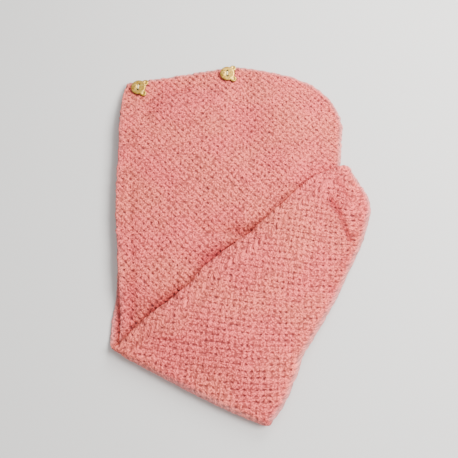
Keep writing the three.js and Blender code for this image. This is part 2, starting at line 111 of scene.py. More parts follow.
BEND_STEPS = 9  # points in that turn
THREAD_STEPS = 60

# Painted shade in a button's recesses: strength, width, and where it lies or ends
RIM_PAINTED_SHADE = (0.8, 0.5)
JOINT_PAINTED_SHADE = (0.7, 0.45)
BOWL_PAINTED_SHADE = (0.45, 0.25, 0.8)
MUZZLE_PAINTED_SHADE = (0.6, 0.09, 1.0)
NOSE_PAINTED_SHADE = (0.8, 0.4, 1.2)
HOLE_PAINTED_SHADE = (1.0, 0.45, 0.5)

# Elastic loop
LOOP_LENGTH = 30
LOOP_WIDTH = 17
LOOP_BAND = 4
LOOP_THICK = 1.4
LOOP_ROOT = (0.934, 0.905)  # reach from the fold and place along it, as for the tail
LOOP_AIM = (0.829, 0.936)
LOOP_TURNS = 28  # points in each half turn
LOOP_PROFILE = 44  # points round its section
LOOP_RIBS = 5
LOOP_RIB = 0.25  # depth of a rib's groove, as a share
LOOP_SQUARE = (0.4, 0.6)  # powers that square off its section, across and up

# Hood sections: open end x and y, closed end x and y, lip, as shares of the width and the mouth
HOOD_SECTIONS = np.array([
    (0.024, 1.004, 0.519, 1.079, 0.000),
    (0.013, 0.973, 0.630, 1.064, 0.000),
    (0.005, 0.930, 0.770, 1.036, 0.000),
    (0.003, 0.877, 0.886, 0.988, 0.000),
    (0.003, 0.805, 0.963, 0.919, 0.000),
    (0.006, 0.719, 0.999, 0.828, 0.000),
    (0.008, 0.619, 0.990, 0.733, 0.000),
    (0.009, 0.497, 0.977, 0.619, 0.000),
    (0.020, 0.374, 0.963, 0.487, 0.002),
    (0.028, 0.258, 0.940, 0.331, 0.009),
    (0.028, 0.156, 0.856, 0.139, 0.020),
    (0.018, 0.073, 0.749, -0.060, 0.037),
    (0.016, 0.010, 0.658, -0.241, 0.043),
])

# Tail sections: reach from the fold and place along it, of the inner and of the outer end
TAIL_SECTIONS = np.array([
    (0.000, 0.063, 0.000, 1.000),
    (0.112, 0.124, 0.058, 1.024),
    (0.208, 0.204, 0.133, 1.025),
    (0.304, 0.271, 0.192, 1.023),
    (0.402, 0.311, 0.239, 1.012),
    (0.498, 0.390, 0.311, 1.028),
    (0.597, 0.467, 0.404, 1.048),
    (0.709, 0.535, 0.512, 1.063),
    (0.820, 0.603, 0.634, 1.072),
    (0.906, 0.671, 0.730, 1.074),
    (0.954, 0.733, 0.828, 1.056),
    (0.988, 0.783, 0.876, 1.040),
    (0.994, 0.835, 0.916, 0.997),
])

# Dents and swells: from x and y, to x and y, width, squeeze
HOOD_DENTS = [
    (0.551, 1.060, 0.563, 0.728, 0.075, 0.45),
    (0.162, 0.993, 0.384, 0.983, 0.035, 0.55),
    (0.118, 0.927, 0.126, 0.844, 0.050, 0.30),
    (0.344, 0.407, 0.575, 0.391, 0.030, 0.55),
    (0.285, 0.281, 0.436, 0.305, 0.030, 0.35),
    (0.780, 0.900, 0.760, 0.620, 0.110, -0.22),
]
TAIL_DENTS = [
    (0.940, 0.517, 1.011, 0.384, 0.028, 0.90),
    (1.011, 0.384, 0.944, 0.248, 0.055, 0.60),
    (0.967, 0.613, 0.999, 0.536, 0.022, 0.60),
    (0.805, 0.030, 0.729, -0.036, 0.022, 0.70),
    (0.729, -0.036, 0.702, -0.093, 0.022, 0.50),
]

# Buttons: name, share of the top edge from the mouth, turn of the brow from +X in degrees
BUTTONS = [
    ("corner_button", 0.094, -7),
    ("crown_button", 0.912, 2),
]

# Plush: square tufts on a lattice turned 45 degrees from the mouth
TUFT_PITCH = 5.95
TUFT_TURN = 45
TUFT_RISE = 0.35  # tops of the tufts over the plain surface
GROOVE_DEPTH = 0.35  # lines between the tufts
PIT_DEPTH = 0.90  # where the lines cross
GROOVE_SPREAD = 0.15  # half widths, in tufts
PIT_SPREAD = 0.22
WEAK_WAY = 0.5  # depth of the grooves that run the other way, as a share
CLUMP_SIZE = 2.3  # clumps of pile
CLUMP_RISE = 0.20
RIM_CLUMP_SIZE = 4.6  # larger ones that show along the outline
RIM_CLUMP_RISE = 0.80
RIM_REACH = 9  # how far in from an edge those go
PUCKER_DEPTH = 0.60  # creases that the sewn seam draws into the tail
PUCKER_PLACE = 11  # their middle, from the edge
PUCKER_SPREAD = 6
PUCKER_WAVE = 1.35  # their wave along the edge, in millimetres a radian
PUCKER_SWAY = (2.5, 16)  # how far the wave wanders in radians, and over what length
PUCKER_SWING = (0.4, 23)  # how much their strength varies, and over what length
PUCKER_START = (45, 30)  # how far before the tip they begin, and over what length they grow
UNROLL_REACH = 35  # distance from the fold where the lattice follows the slopes in full
NOISE_CELLS = 64  # a noise repeats after so many cells

# Pale painted sheen along the outline: how far in it reaches, and its strength at the mouth and over the
# fold
RIM_SHEEN_REACH = 3.2
MOUTH_SHEEN = {"under_panel": 0.8, "upper_panel": 0.2}
FOLD_SHEEN = (0.8, 4, 7)  # strength, how far past the fold it begins, and over what length it grows
SHEEN_END = (5, 20)  # how far past the tip's inner corner it begins on the tail, and its fade

# Where the tail's inner edge presses into the hood: a shallow dent, also darkened as painted shade
PRESS_DEPTH = 0.60
PRESS_SPREAD = 8.0

# How the lattice wanders: size of the patches in millimetres and reach in tufts
WANDER = (
    (38, 0.24),
    (12, 0.09),
    (5, 0.07),
)

# Creases in the cloth: width and depth in millimetres, then the points of their line in the plan's shares
# Their depth also darkens the plush's colour as painted shade
HOOD_CREASES = (
    (1.6, 1.1, ((0.114, 0.895), (0.183, 0.956))),
    (4.0, 0.8, ((0.167, 0.899), (0.214, 0.951), (0.269, 0.960), (0.314, 0.962))),
    (4.5, 0.5, ((0.120, 0.855), (0.165, 0.880))),
    (2.8, 0.4, ((0.086, 0.600), (0.088, 0.452), (0.097, 0.304))),
    (4.0, 0.9, ((0.098, 0.240), (0.100, 0.180), (0.102, 0.084), (0.107, 0.034))),
    (11.0, 1.7, ((0.177, 0.077), (0.203, 0.110), (0.246, 0.138), (0.289, 0.169))),
    (8.0, 1.4, ((0.384, 0.278), (0.421, 0.296), (0.466, 0.314), (0.520, 0.347))),
    (7.0, 1.4, ((0.529, 0.389), (0.562, 0.383), (0.587, 0.387), (0.634, 0.421))),
    (3.0, 0.8, ((0.391, 0.386), (0.475, 0.390), (0.537, 0.401))),
)
TAIL_CREASES = (
    (14.0, 0.5, ((0.930, 0.480), (0.980, 0.400), (1.000, 0.340), (0.960, 0.260))),
    (4.5, 2.0, ((0.924, 0.500), (0.960, 0.452), (0.978, 0.403), (1.000, 0.365))),
    (3.5, 1.0, ((1.000, 0.365), (1.028, 0.387))),
    (5.0, 1.2, ((0.963, 0.575), (0.990, 0.532), (1.003, 0.517))),
    (7.0, 0.7, ((1.000, 0.365), (0.984, 0.318), (0.957, 0.268), (0.932, 0.223), (0.904, 0.187))),
    (1.2, 1.0, ((0.215, 0.011), (0.301, 0.005))),
    (1.2, 0.6, ((0.082, -0.006), (0.122, -0.026))),
    (1.2, 0.5, ((0.096, 0.004), (0.128, -0.010))),
    (1.0, 0.4, ((0.234, -0.071), (0.295, -0.078))),
)

# Grid of a panel: rows of quads over the hood, the bend and the tail, finer on the face that shows,
# and columns across
PANEL_ROWS = {
    "under_panel": (150, 18, 230),
    "upper_panel": (240, 14, 110),
}
EDGE_COLUMNS = 20
EDGE_REACH = 20
MIDDLE_COLUMNS = 148
ROUND_STEPS = 8
EDGE_SHARE = 0.75  # the most of a section that the columns near its two edges take up
DENSE_STEPS = 3000  # steps along a panel for measuring its length
LINE_STEPS = 90  # steps along each outline that distances are measured to
AREA_STEPS = 60
NOWHERE = 999.0  # a distance from an edge that isn't there

# Lights: name, place in metres, size and power
LIGHTS = (
    ("key", (0.80, -0.05, 0.95), 0.6, 30.0),
    ("fill", (0.40, 0.62, 0.60), 0.5, 10.0),
)
WORLD_STRENGTH = 0.82
FLOOR_SIZE = 6
FLOOR_DROP = 0.0002  # the floor lies this far under the towel

# Camera over the table, as for the photograph, in the part's own frame
CAMERA_PLACE = (123.8, -114.1, 657.0)
CAMERA_AIM = (123.8, 125.0, 0.0)
CAMERA_LENS = 51.1


# Small measures

def rise(x):
    """0 at 0 and below, 1 at 1 and above, 3t^2 - 2t^3 between."""
    t = np.clip(x, 0, 1)
    return t * t * (3 - 2 * t)


def quarter(x):
    """Quarter of an ellipse: the square root of 1 - (1 - t)^2, from 0 at 0 to 1 at 1."""
    t = np.clip(x, 0, 1)
    return np.sqrt(1 - (1 - t) ** 2)


def bell(distance, width):
    """1 in the middle and dying away on both sides: exp(-(distance / width)^2)."""
    return np.exp(-(distance / width) ** 2)


def mix(a, b, share):
    """The value at a share of the way from a to b."""
    return a + (b - a) * share


def unit(vectors):
    """Vectors of the same direction with a length of 1."""
    return vectors / np.linalg.norm(vectors, axis=-1, keepdims=True)


def bent_steps(radius, count):
    """Distances from an edge at even angles of a quarter turn round it: radius times 1 - cos of the turn."""
    return radius * (1 - np.cos(np.linspace(0, math.pi / 2, count)))


def passed(steps):
    """Length passed at each point of a path, from the lengths of its steps."""
    return np.concatenate([[0], np.cumsum(steps)])


def turned(x, y, angle):
    """Coordinates after a turn by an angle."""
    return x * math.cos(angle) - y * math.sin(angle), x * math.sin(angle) + y * math.cos(angle)


def spline(points, place):
    """Smooth curve through the points at whole places. Each stretch is a cubic that passes its two
    points with half the step between their neighbours, and the end points count as their own."""
    row = np.clip(np.floor(place).astype(int), 0, len(points) - 2)
    t = (place - row)[..., None]
    here = points[row]
    after = points[row + 1]
    leave = (after - points[np.maximum(row - 1, 0)]) / 2
    reach = (points[np.minimum(row + 2, len(points) - 1)] - here) / 2
    cubic = 2 * here - 2 * after + leave + reach
    square = -3 * here + 3 * after - 2 * leave - reach
    return cubic * t ** 3 + square * t ** 2 + leave * t + here


def stretch_distance(points, start, end):
    """Distance from each point to a straight stretch, and the share of the stretch nearest to it."""
    run = end - start
    reach = points - start
    share = np.clip(reach @ run / (run @ run), 0, 1)
    return np.linalg.norm(reach - share[..., None] * run, axis=-1), share


def line_distance(points, line):
    """Distance from each point to a line of stretches, and how far along the line its nearest point is."""
    nearest = np.full(points.shape[:-1], np.inf)
    along = np.zeros(points.shape[:-1])
    gone = 0.0
    for start, end in zip(line[:-1], line[1:]):
        away, share = stretch_distance(points, start, end)
        length = np.linalg.norm(end - start)
        closer = away < nearest
        nearest = np.where(closer, away, nearest)
        along = np.where(closer, gone + share * length, along)
        gone += length
    return nearest, along


def is_inside(points, outline):
    """Whether each point is inside the closed outline: a line up from it crosses an odd number of sides."""
    inside = np.zeros(points.shape[:-1], bool)
    x, y = points[..., 0], points[..., 1]
    for a, b in zip(outline, np.roll(outline, -1, axis=0)):
        if a[0] != b[0]:
            height = a[1] + (b[1] - a[1]) * (x - a[0]) / (b[0] - a[0])
            inside ^= ((a[0] > x) != (b[0] > x)) & (y < height)
    return inside


def noise(x, y, size, seed):
    """Soft random field from -1 to 1: random values on a square lattice with the given spacing, blended
    between the four nearest by the smooth step."""
    values = np.random.default_rng(seed).uniform(-1, 1, (NOISE_CELLS, NOISE_CELLS))
    column, row = np.floor(x / size).astype(int), np.floor(y / size).astype(int)
    across, up = rise(x / size - column), rise(y / size - row)
    corners = [[values[(column + i) % NOISE_CELLS, (row + j) % NOISE_CELLS] for i in (0, 1)] for j in (0, 1)]
    return mix(mix(*corners[0], across), mix(*corners[1], across), up)


# Plan of the towel

LAST_HOOD = len(HOOD_SECTIONS) - 1
LAST_TAIL = len(TAIL_SECTIONS) - 1
PLAN_SIZE = np.array([CAP_WIDTH, MOUTH_LENGTH])


def hood_ends(place, is_upper):
    """Open and closed end of the hood's sections at the given rows. The upper panel stops short of the
    lower one at the mouth by the lip."""
    open_end = spline(HOOD_SECTIONS[:, 0:2] * PLAN_SIZE, place)
    side = spline(HOOD_SECTIONS[:, 2:4] * PLAN_SIZE, place)
    if is_upper:
        lip = np.interp(place, np.arange(LAST_HOOD + 1), HOOD_SECTIONS[:, 4]) * CAP_WIDTH
        length = np.linalg.norm(side - open_end, axis=-1)
        open_end = mix(open_end, side, (lip / length)[..., None])
    return open_end, side


(fold_start,), (fold_end,) = hood_ends(np.array([float(LAST_HOOD)]), False)
fold_length = np.linalg.norm(fold_end - fold_start)
along_fold = (fold_end - fold_start) / fold_length
across_fold = np.array([-along_fold[1], along_fold[0]])


def in_fold(reach, along):
    """Point at a reach from the fold and a place along it, as shares of the tail's and the fold's."""
    across = np.multiply.outer(np.asarray(reach) * TAIL_REACH, across_fold)
    return fold_start + across + np.multiply.outer(np.asarray(along) * fold_length, along_fold)


def tail_ends(place):
    """Inner and outer end of the tail's sections at the given rows."""
    inner = in_fold(TAIL_SECTIONS[:, 0], TAIL_SECTIONS[:, 1])
    outer = in_fold(TAIL_SECTIONS[:, 2], TAIL_SECTIONS[:, 3])
    return spline(inner, place), spline(outer, place)


def fold_distance(points):
    """Distance of plan points from the fold's line, negative past it."""
    return (points - fold_start) @ across_fold


def bulged(points):
    """Points moved out of the fold by 27/4 a^2 (1 - a) of its bow, where a is the share passed along it.
    The move dies away on both sides of the fold."""
    along = np.clip((points - fold_start) @ along_fold / fold_length, 0, 1)
    bow = 27 / 4 * along ** 2 * (1 - along)
    near = 1 - rise(fold_distance(points) / FOLD_BOW_FADE)
    return points - (FOLD_BOW * bow * near)[..., None] * across_fold


def cloth_area():
    """Area of one panel laid flat: the hood's outline and the tail's outline."""
    def area(ends):
        outline = np.vstack([ends[0], ends[1][::-1]])
        x, y = outline.T
        return abs(np.sum(x * np.roll(y, -1) - y * np.roll(x, -1))) / 2
    places = np.linspace(0, 1, AREA_STEPS)
    return area(hood_ends(places * LAST_HOOD, False)) + area(tail_ends(places * LAST_TAIL))


# Outlines that distances are measured to
hood_places = np.linspace(0, LAST_HOOD, LINE_STEPS)
tail_places = np.linspace(0, LAST_TAIL, LINE_STEPS)
hood_open_line, hood_side_line = map(bulged, hood_ends(hood_places, False))
upper_open_line = bulged(hood_ends(hood_places, True)[0])
hood_seam = np.vstack([hood_open_line[:1], hood_side_line])
past_fold = np.array([fold_start, fold_end]) - FOLD_BOW_FADE * across_fold
hood_outline = np.vstack([hood_open_line, past_fold, hood_side_line[::-1]])
tail_inner_line, tail_outer_line = map(bulged, tail_ends(tail_places))
tail_seam = np.vstack([tail_inner_line, tail_outer_line[::-1]])
fold_tack = np.array([fold_start, tail_inner_line[0]])


# Heights

def squeeze_at(points, dents):
    """Sum of the dents at each point, each a bell across its line."""
    squeeze = np.zeros(points.shape[:-1])
    for *line, width, depth in dents:
        away, _ = stretch_distance(points, *np.reshape(line, (2, 2)) * PLAN_SIZE)
        squeeze += depth * bell(away, width * CAP_WIDTH)
    return np.minimum(squeeze, 1)


def pocket_at(points, seam_distance, full_gap, distance, dents):
    """Space between the panels: the seam's gap at seams and fold, opening over a distance."""
    opened = rise(seam_distance / distance) * rise(fold_distance(points) / distance)
    return SEAM_GAP + (full_gap - SEAM_GAP) * opened * (1 - squeeze_at(points, dents))


def hood_seam_distance(points):
    """Distance from the hood's sewn edge, the tack at the fold's open end included."""
    return np.minimum(line_distance(points, hood_seam)[0], line_distance(points, fold_tack)[0])


def hood_crown(points, seam_distance):
    """Height of the hood's top face, away from its rims: two layers and the space between them."""
    return 2 * FABRIC + pocket_at(points, seam_distance, HOOD_GAP, HOOD_RISE, HOOD_DENTS)


def stack_faces(base, pocket, seam_distance):
    """Heights of the four faces of two panels, lowest first. Quarter ellipses round the outer faces over
    to meet at a sewn edge and close the inner faces on it."""
    seam = base + FABRIC + SEAM_GAP / 2
    low_rim = seam - SEAM_CLEARANCE / 2
    high_rim = seam + SEAM_CLEARANCE / 2
    outer = quarter(seam_distance / SEAM_ROLL)
    inner = quarter((seam_distance - FABRIC) / SEAM_ROLL)
    return [
        mix(low_rim, base, outer),
        mix(low_rim, base + FABRIC, inner),
        mix(high_rim, base + FABRIC + pocket, inner),
        mix(high_rim, base + 2 * FABRIC + pocket, outer),
    ]


def hood_faces(points, open_line):
    """Heights of the hood's four faces. Each panel ends at the mouth in a round hem, with a stitched
    groove along it on each outer face, a bell across the stitches."""
    seam_distance = hood_seam_distance(points)
    pocket = pocket_at(points, seam_distance, HOOD_GAP, HOOD_RISE, HOOD_DENTS)
    low, low_inner, high_inner, high = stack_faces(0, pocket, seam_distance)
    open_distance, _ = line_distance(points, open_line)
    hem = quarter(2 * open_distance / FABRIC)
    groove = HEM_DEPTH * bell(open_distance - HEM_WIDTH, HEM_SPREAD) * quarter(seam_distance / HOOD_RISE)
    low_middle = (low + low_inner) / 2
    high_middle = (high + high_inner) / 2
    return [
        mix(low_middle, low + groove, hem),
        mix(low_middle, low_inner, hem),
        mix(high_middle, high_inner, hem),
        mix(high_middle, high - groove, hem),
    ]


loop_root = in_fold(*LOOP_ROOT)
loop_way = unit(in_fold(*LOOP_AIM) - loop_root)
loop_end = loop_root + loop_way * LOOP_LENGTH


def tail_base(points):
    """Underside of the tail: a gap over the hood's crown, then down to the table past its edge, and over
    the loop under the tip."""
    edge_distance, _ = line_distance(points, hood_seam)
    over = np.where(is_inside(points, hood_outline), edge_distance, -edge_distance)
    crown = hood_crown(points, np.where(over > 0, hood_seam_distance(points), 0)) + LAYER_GAP
    drape = mix(TABLE_CLEARANCE, crown, rise((over + DRAPE) / (DRAPE + SEAM_ROLL / 2)))
    beside_loop = stretch_distance(points, loop_root, loop_end)[0] - LOOP_WIDTH / 2
    lifted = mix(LOOP_THICK + 2 * TABLE_CLEARANCE, TABLE_CLEARANCE, rise(beside_loop / LOOP_WIDTH))
    return np.maximum(drape, lifted)


def tail_faces(points):
    """Heights of the tail's four faces, over its base."""
    seam_distance, _ = line_distance(points, tail_seam)
    pocket = pocket_at(points, seam_distance, TAIL_GAP, TAIL_RISE, TAIL_DENTS)
    return stack_faces(tail_base(points), pocket, seam_distance)


# Where the part's own frame lies in the row's: the loop's middle is known in both
loop_middle = (loop_root + loop_end) / 2
loop_low, loop_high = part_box("fastening_loop")
ROW_SHIFT = (np.array(loop_low) + np.array(loop_high)) / 2 / MM
ROW_SHIFT = ROW_SHIFT - np.array([*loop_middle, TABLE_CLEARANCE + LOOP_THICK / 2])


# Grid of a panel

def edge_steps(roll):
    """Distances of the columns near an edge: steps of a quarter turn round the roll, then even steps."""
    even = np.linspace(roll, EDGE_REACH, EDGE_COLUMNS - ROUND_STEPS + 1)[1:]
    return np.concatenate([bent_steps(roll, ROUND_STEPS + 1), even])


def even_ends(ends, last, count, first_roll, last_roll):
    """Both ends of sections at even steps of the mean length that the ends travel. A sewn edge at the
    first or last section starts or finishes with the steps of a quarter turn."""
    dense = np.linspace(0, last, DENSE_STEPS)
    travel = sum(np.linalg.norm(np.diff(end, axis=0), axis=1) for end in ends(dense)) / 2
    gone = passed(travel)
    start = bent_steps(first_roll, ROUND_STEPS + 1) if first_roll else np.zeros(1)
    finish = gone[-1] - (bent_steps(last_roll, ROUND_STEPS + 1)[::-1] if last_roll else np.zeros(1))
    even = np.linspace(start[-1], finish[0], count + 3 - len(start) - len(finish))
    lengths = np.concatenate([start[:-1], even, finish[1:]])
    return ends(np.interp(lengths, gone, dense))


def section_grid(ends, first_steps):
    """Plan points of all sections: fixed distances from both ends, even steps between."""
    start, end = ends
    length = np.linalg.norm(end - start, axis=-1)[:, None]
    fit = np.minimum(1, EDGE_SHARE * length / (2 * EDGE_REACH))
    first = first_steps[None, :] * fit / length
    last = 1 - edge_steps(SEAM_ROLL)[None, ::-1] * fit / length
    steps = np.linspace(0, 1, MIDDLE_COLUMNS + 1)[None, 1:-1]
    middle = mix(first[:, -1:], last[:, :1], steps)
    shares = np.hstack([first, middle, last])[..., None]
    return bulged(mix(start[:, None, :], end[:, None, :], shares))


def lift(plan, heights):
    """Plan points with their heights as a third coordinate."""
    return np.concatenate([plan, heights[..., None]], axis=-1)


def bend_rows(before, after, count):
    """Rows of the bend between the hood's last row and the tail's first: half a turn up, with a radius of
    half the rise, and out of the fold by that radius times the sine of the turn."""
    turn = (np.arange(1, count) / count)[:, None]
    radius = (after[None, :, 2] - before[None, :, 2]) / 2
    plan = mix(before[None, :, :2], after[None, :, :2], turn[..., None])
    plan = plan - (radius * np.sin(turn * math.pi))[..., None] * across_fold
    return lift(plan, before[None, :, 2] + radius * (1 - np.cos(turn * math.pi)))


def tufts(u, v):
    """Relief of the plush over its lattice: flat tops, a groove along each line, shallower along one way,
    and a pit at each crossing, all bells of the distance from them."""
    du = np.abs(u - np.round(u))
    dv = np.abs(v - np.round(v))
    groove = np.maximum(bell(du, GROOVE_SPREAD), WEAK_WAY * bell(dv, GROOVE_SPREAD))
    pit = bell(np.hypot(du, dv), PIT_SPREAD)
    return TUFT_RISE - GROOVE_DEPTH * groove - PIT_DEPTH * pit


def lattice(flat):
    """Tuft coordinates of points on the flat cloth: turned, divided by the pitch, and wandering by soft
    noise of several sizes."""
    x, y = flat[..., 0], flat[..., 1]
    u, v = turned(x / TUFT_PITCH, y / TUFT_PITCH, -math.radians(TUFT_TURN))
    for seed, (size, reach) in enumerate(WANDER):
        u = u + reach * noise(x, y, size, 10 + seed)
        v = v + reach * noise(x, y, size, 20 + seed)
    return u, v


def puckers(edge_distance, along, inner_length):
    """Creases across the tail's outer edge: a wave along the edge with a wandering length, under a bell
    over the distance from it. They begin near the tip."""
    sway, sway_size = PUCKER_SWAY
    swing, swing_size = PUCKER_SWING
    lead, growth = PUCKER_START
    wave = np.sin(along / PUCKER_WAVE + sway * noise(along, 0 * along, sway_size, 5))
    strength = 1 - swing * (1 - noise(along, 0 * along, swing_size, 6))
    strength = strength * rise((along - inner_length + lead) / growth)
    return PUCKER_DEPTH * wave * strength * bell(edge_distance - PUCKER_PLACE, PUCKER_SPREAD)


def creases(points, table):
    """Depth of the cloth's creases at each point, each a bell across its line."""
    depth = np.zeros(points.shape[:-1])
    for width, deep, line in table:
        away, _ = line_distance(points, np.array(line) * PLAN_SIZE)
        depth = np.maximum(depth, deep * bell(away, width))
    return depth


def clumps(flat, edge_distance):
    """Uneven tops of the pile: soft noise, and larger clumps near an edge."""
    x, y = flat[..., 0], flat[..., 1]
    small = CLUMP_RISE * noise(x, y, CLUMP_SIZE, 7)
    return small + RIM_CLUMP_RISE * noise(x, y, RIM_CLUMP_SIZE, 8) * bell(edge_distance, RIM_REACH)


def unit_normals(grid):
    """Unit normals of a grid: the cross product of its differences along rows and columns."""
    along = np.gradient(grid, axis=0)
    across = np.gradient(grid, axis=1)
    return unit(np.cross(along, across))


def flat_cloth(hood_plan, bend, tail_plan):
    """Places on the flat cloth: the hood as it lies, then the bend by its length across the fold, then
    the tail turned back over the fold."""
    steps = np.diff(bend, axis=0)
    lengths = np.sqrt(np.sum(steps ** 2, axis=-1) - (steps[..., :2] @ along_fold) ** 2)
    gone = np.cumsum(lengths, axis=0)
    start = fold_distance(hood_plan[-1])[None]
    past = fold_distance(tail_plan) - start + gone[-1][None]
    bend_along = (bend[1:-1, :, :2] - fold_start) @ along_fold
    tail_along = (tail_plan - fold_start) @ along_fold
    along = np.concatenate([bend_along, tail_along])[..., None]
    across = np.concatenate([start - gone[:-1], start - past])[..., None]
    return np.concatenate([hood_plan, fold_start + along * along_fold + across * across_fold])


def unrolled(flat, face, way, start):
    """Places on the flat cloth moved along one way of the grid by what the face's slope adds to its
    length: the sum of each step's length on the face less its length on the flat cloth, from a start.
    The move dies away towards the fold."""
    on_face = np.linalg.norm(np.diff(face, axis=way), axis=-1)
    on_flat = np.linalg.norm(np.diff(flat, axis=way), axis=-1)
    extra = np.insert(np.cumsum(on_face - on_flat, axis=way), 0, 0, axis=way)
    extra = extra - np.take(extra, [start], axis=way)
    extra = extra * rise(np.abs(fold_distance(face[..., :2])) / UNROLL_REACH)
    return flat + extra[..., None] * unit(np.gradient(flat, axis=way))


def panel_grids(name):
    """Outer and inner face of a panel as grids of points, and for the outer face its relief, the tuft
    coordinates, the strength of its painted sheen near the towel's outline, and how deep it lies in a
    crease, which also sets its painted shade."""
    is_upper = name == "upper_panel"
    hood_count, bend_count, tail_count = PANEL_ROWS[name]

    def ends_here(place):
        return hood_ends(place, is_upper)
    hood_rows = even_ends(ends_here, LAST_HOOD, hood_count, SEAM_ROLL, 0)
    tail_rows = even_ends(tail_ends, LAST_TAIL, tail_count, 0, SEAM_ROLL)
    hood_plan = section_grid(hood_rows, edge_steps(FABRIC / 2))
    tail_plan = section_grid(tail_rows, edge_steps(SEAM_ROLL))
    open_line = upper_open_line if is_upper else hood_open_line
    hood_heights = hood_faces(hood_plan, open_line)
    tail_heights = tail_faces(tail_plan)
    faces = []
    for which in ([3, 2] if is_upper else [0, 1]):
        hood = lift(hood_plan, hood_heights[which])
        tail = lift(tail_plan, tail_heights[3 - which])
        faces.append(np.concatenate([hood, bend_rows(hood[-1], tail[0], bend_count), tail]))
    outer, inner = faces

    flat = flat_cloth(hood_plan, outer[len(hood_plan) - 1:len(hood_plan) + bend_count], tail_plan)
    flat = unrolled(flat, outer, 1, outer.shape[1] // 2)
    flat = unrolled(flat, outer, 0, len(hood_plan))
    u, v = lattice(flat)
    plan = outer[..., :2]
    on_tail = np.arange(len(outer))[:, None] >= len(hood_plan) + bend_count - 1
    seam_away, _ = line_distance(plan, hood_seam)
    tail_away, tail_along = line_distance(plan, tail_seam)
    edge_away = np.where(on_tail, tail_away, seam_away)
    open_away = np.where(on_tail, NOWHERE, line_distance(plan, open_line)[0])
    inner_length = np.linalg.norm(np.diff(tail_inner_line, axis=0), axis=1).sum()

    # The press is a dent, and its depth also paints shade beside the tail's inner edge
    pressed = PRESS_DEPTH * bell(line_distance(plan, tail_inner_line)[0], PRESS_SPREAD)
    hood_depth = np.maximum(creases(plan, HOOD_CREASES), pressed) if is_upper else 0
    depth = np.where(on_tail, creases(plan, TAIL_CREASES), hood_depth)
    relief = tufts(u, v) + clumps(flat, np.minimum(edge_away, open_away)) - depth
    relief = relief + np.where(on_tail, puckers(edge_away, tail_along, inner_length), 0)

    # Painted sheen, paler along the outline and over the fold, but not where the tail's inner edge lies on
    # the hood
    past_corner, fade = SHEEN_END
    on_hood = on_tail * rise((inner_length + past_corner - tail_along) / fade)
    strength, begins, growth = FOLD_SHEEN
    fold_sheen = strength * rise((-begins - fold_distance(plan)) / growth)
    rim = bell(edge_away, RIM_SHEEN_REACH) * (1 - on_hood)
    rim = np.maximum(rim, MOUTH_SHEEN[name] * bell(open_away, RIM_SHEEN_REACH))
    rim = np.maximum(rim, fold_sheen)
    return outer, inner, relief, np.stack([u, v, 0 * u], axis=-1), rim, depth


# Meshes

def fill_mesh(piece_mesh, points, corners):
    """Puts points, in millimetres of the row's frame, and faces into a mesh. Each row of corners is a
    face, and -1 marks a corner that it doesn't have."""
    present = corners >= 0
    starts = np.concatenate([[0], np.cumsum(present.sum(axis=1))[:-1]])
    loops = corners[present]
    piece_mesh.vertices.add(len(points))
    piece_mesh.vertices.foreach_set("co", (points * MM).astype(np.float32).ravel())
    piece_mesh.loops.add(len(loops))
    piece_mesh.loops.foreach_set("vertex_index", loops.astype(np.int32))
    piece_mesh.polygons.add(len(corners))
    piece_mesh.polygons.foreach_set("loop_start", starts.astype(np.int32))
    piece_mesh.polygons.foreach_set("use_smooth", np.ones(len(corners), bool))
    piece_mesh.update(calc_edges=True)
    piece_mesh.validate()


def make_piece(name, points, corners, material):
    """A finished piece: its mesh, moved from the part's own frame to the row's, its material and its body
   ."""
    mesh = bpy.data.meshes.new(name)
    fill_mesh(mesh, points + ROW_SHIFT, corners)
    piece = bpy.data.objects.new(name, mesh)
    bpy.context.collection.objects.link(piece)
    mesh.materials.append(material)
    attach(piece, "root")
    return piece


def set_attribute(piece, name, values):
    """Gives a piece a named value, or a vector, at each point for its material."""
    kind, field = ("FLOAT_VECTOR", "vector") if values.ndim == 2 else ("FLOAT", "value")
    layer = piece.data.attributes.new(name, kind, "POINT")
    layer.data.foreach_set(field, values.astype(np.float32).ravel())


def grid_corners(grid, up):
    """Quads of a grid of point numbers, facing up or down."""
    a, b, c, d = grid[:-1, :-1], grid[1:, :-1], grid[1:, 1:], grid[:-1, 1:]
    quads = np.stack([a, b, c, d] if up else [a, d, c, b], axis=-1)
    return quads.reshape(-1, 4)


def half_grid_corners(fine, coarse, up):
    """Faces of a grid with half the rows and columns of another, whose edge points it shares. Faces at
    the edge also take the fine grid's points that lie halfway along them."""
    a, b, c, d = coarse[:-1, :-1], coarse[1:, :-1], coarse[1:, 1:], coarse[:-1, 1:]
    halfway = np.full(a.shape + (4,), -1)
    halfway[:, 0, 0] = fine[1::2, 0]
    halfway[-1, :, 1] = fine[-1, 1::2]
    halfway[:, -1, 2] = fine[1::2, -1]
    halfway[0, :, 3] = fine[0, 1::2]
    ring = np.stack([
        a, halfway[..., 0], b, halfway[..., 1], c, halfway[..., 2], d, halfway[..., 3],
    ], axis=-1).reshape(-1, 8)
    return ring if up else ring[:, ::-1]


def widen(corners, width):
    """Rows of corners made longer, with -1 for the corners that they don't have."""
    return np.pad(corners, ((0, 0), (0, width - corners.shape[1])), constant_values=-1)


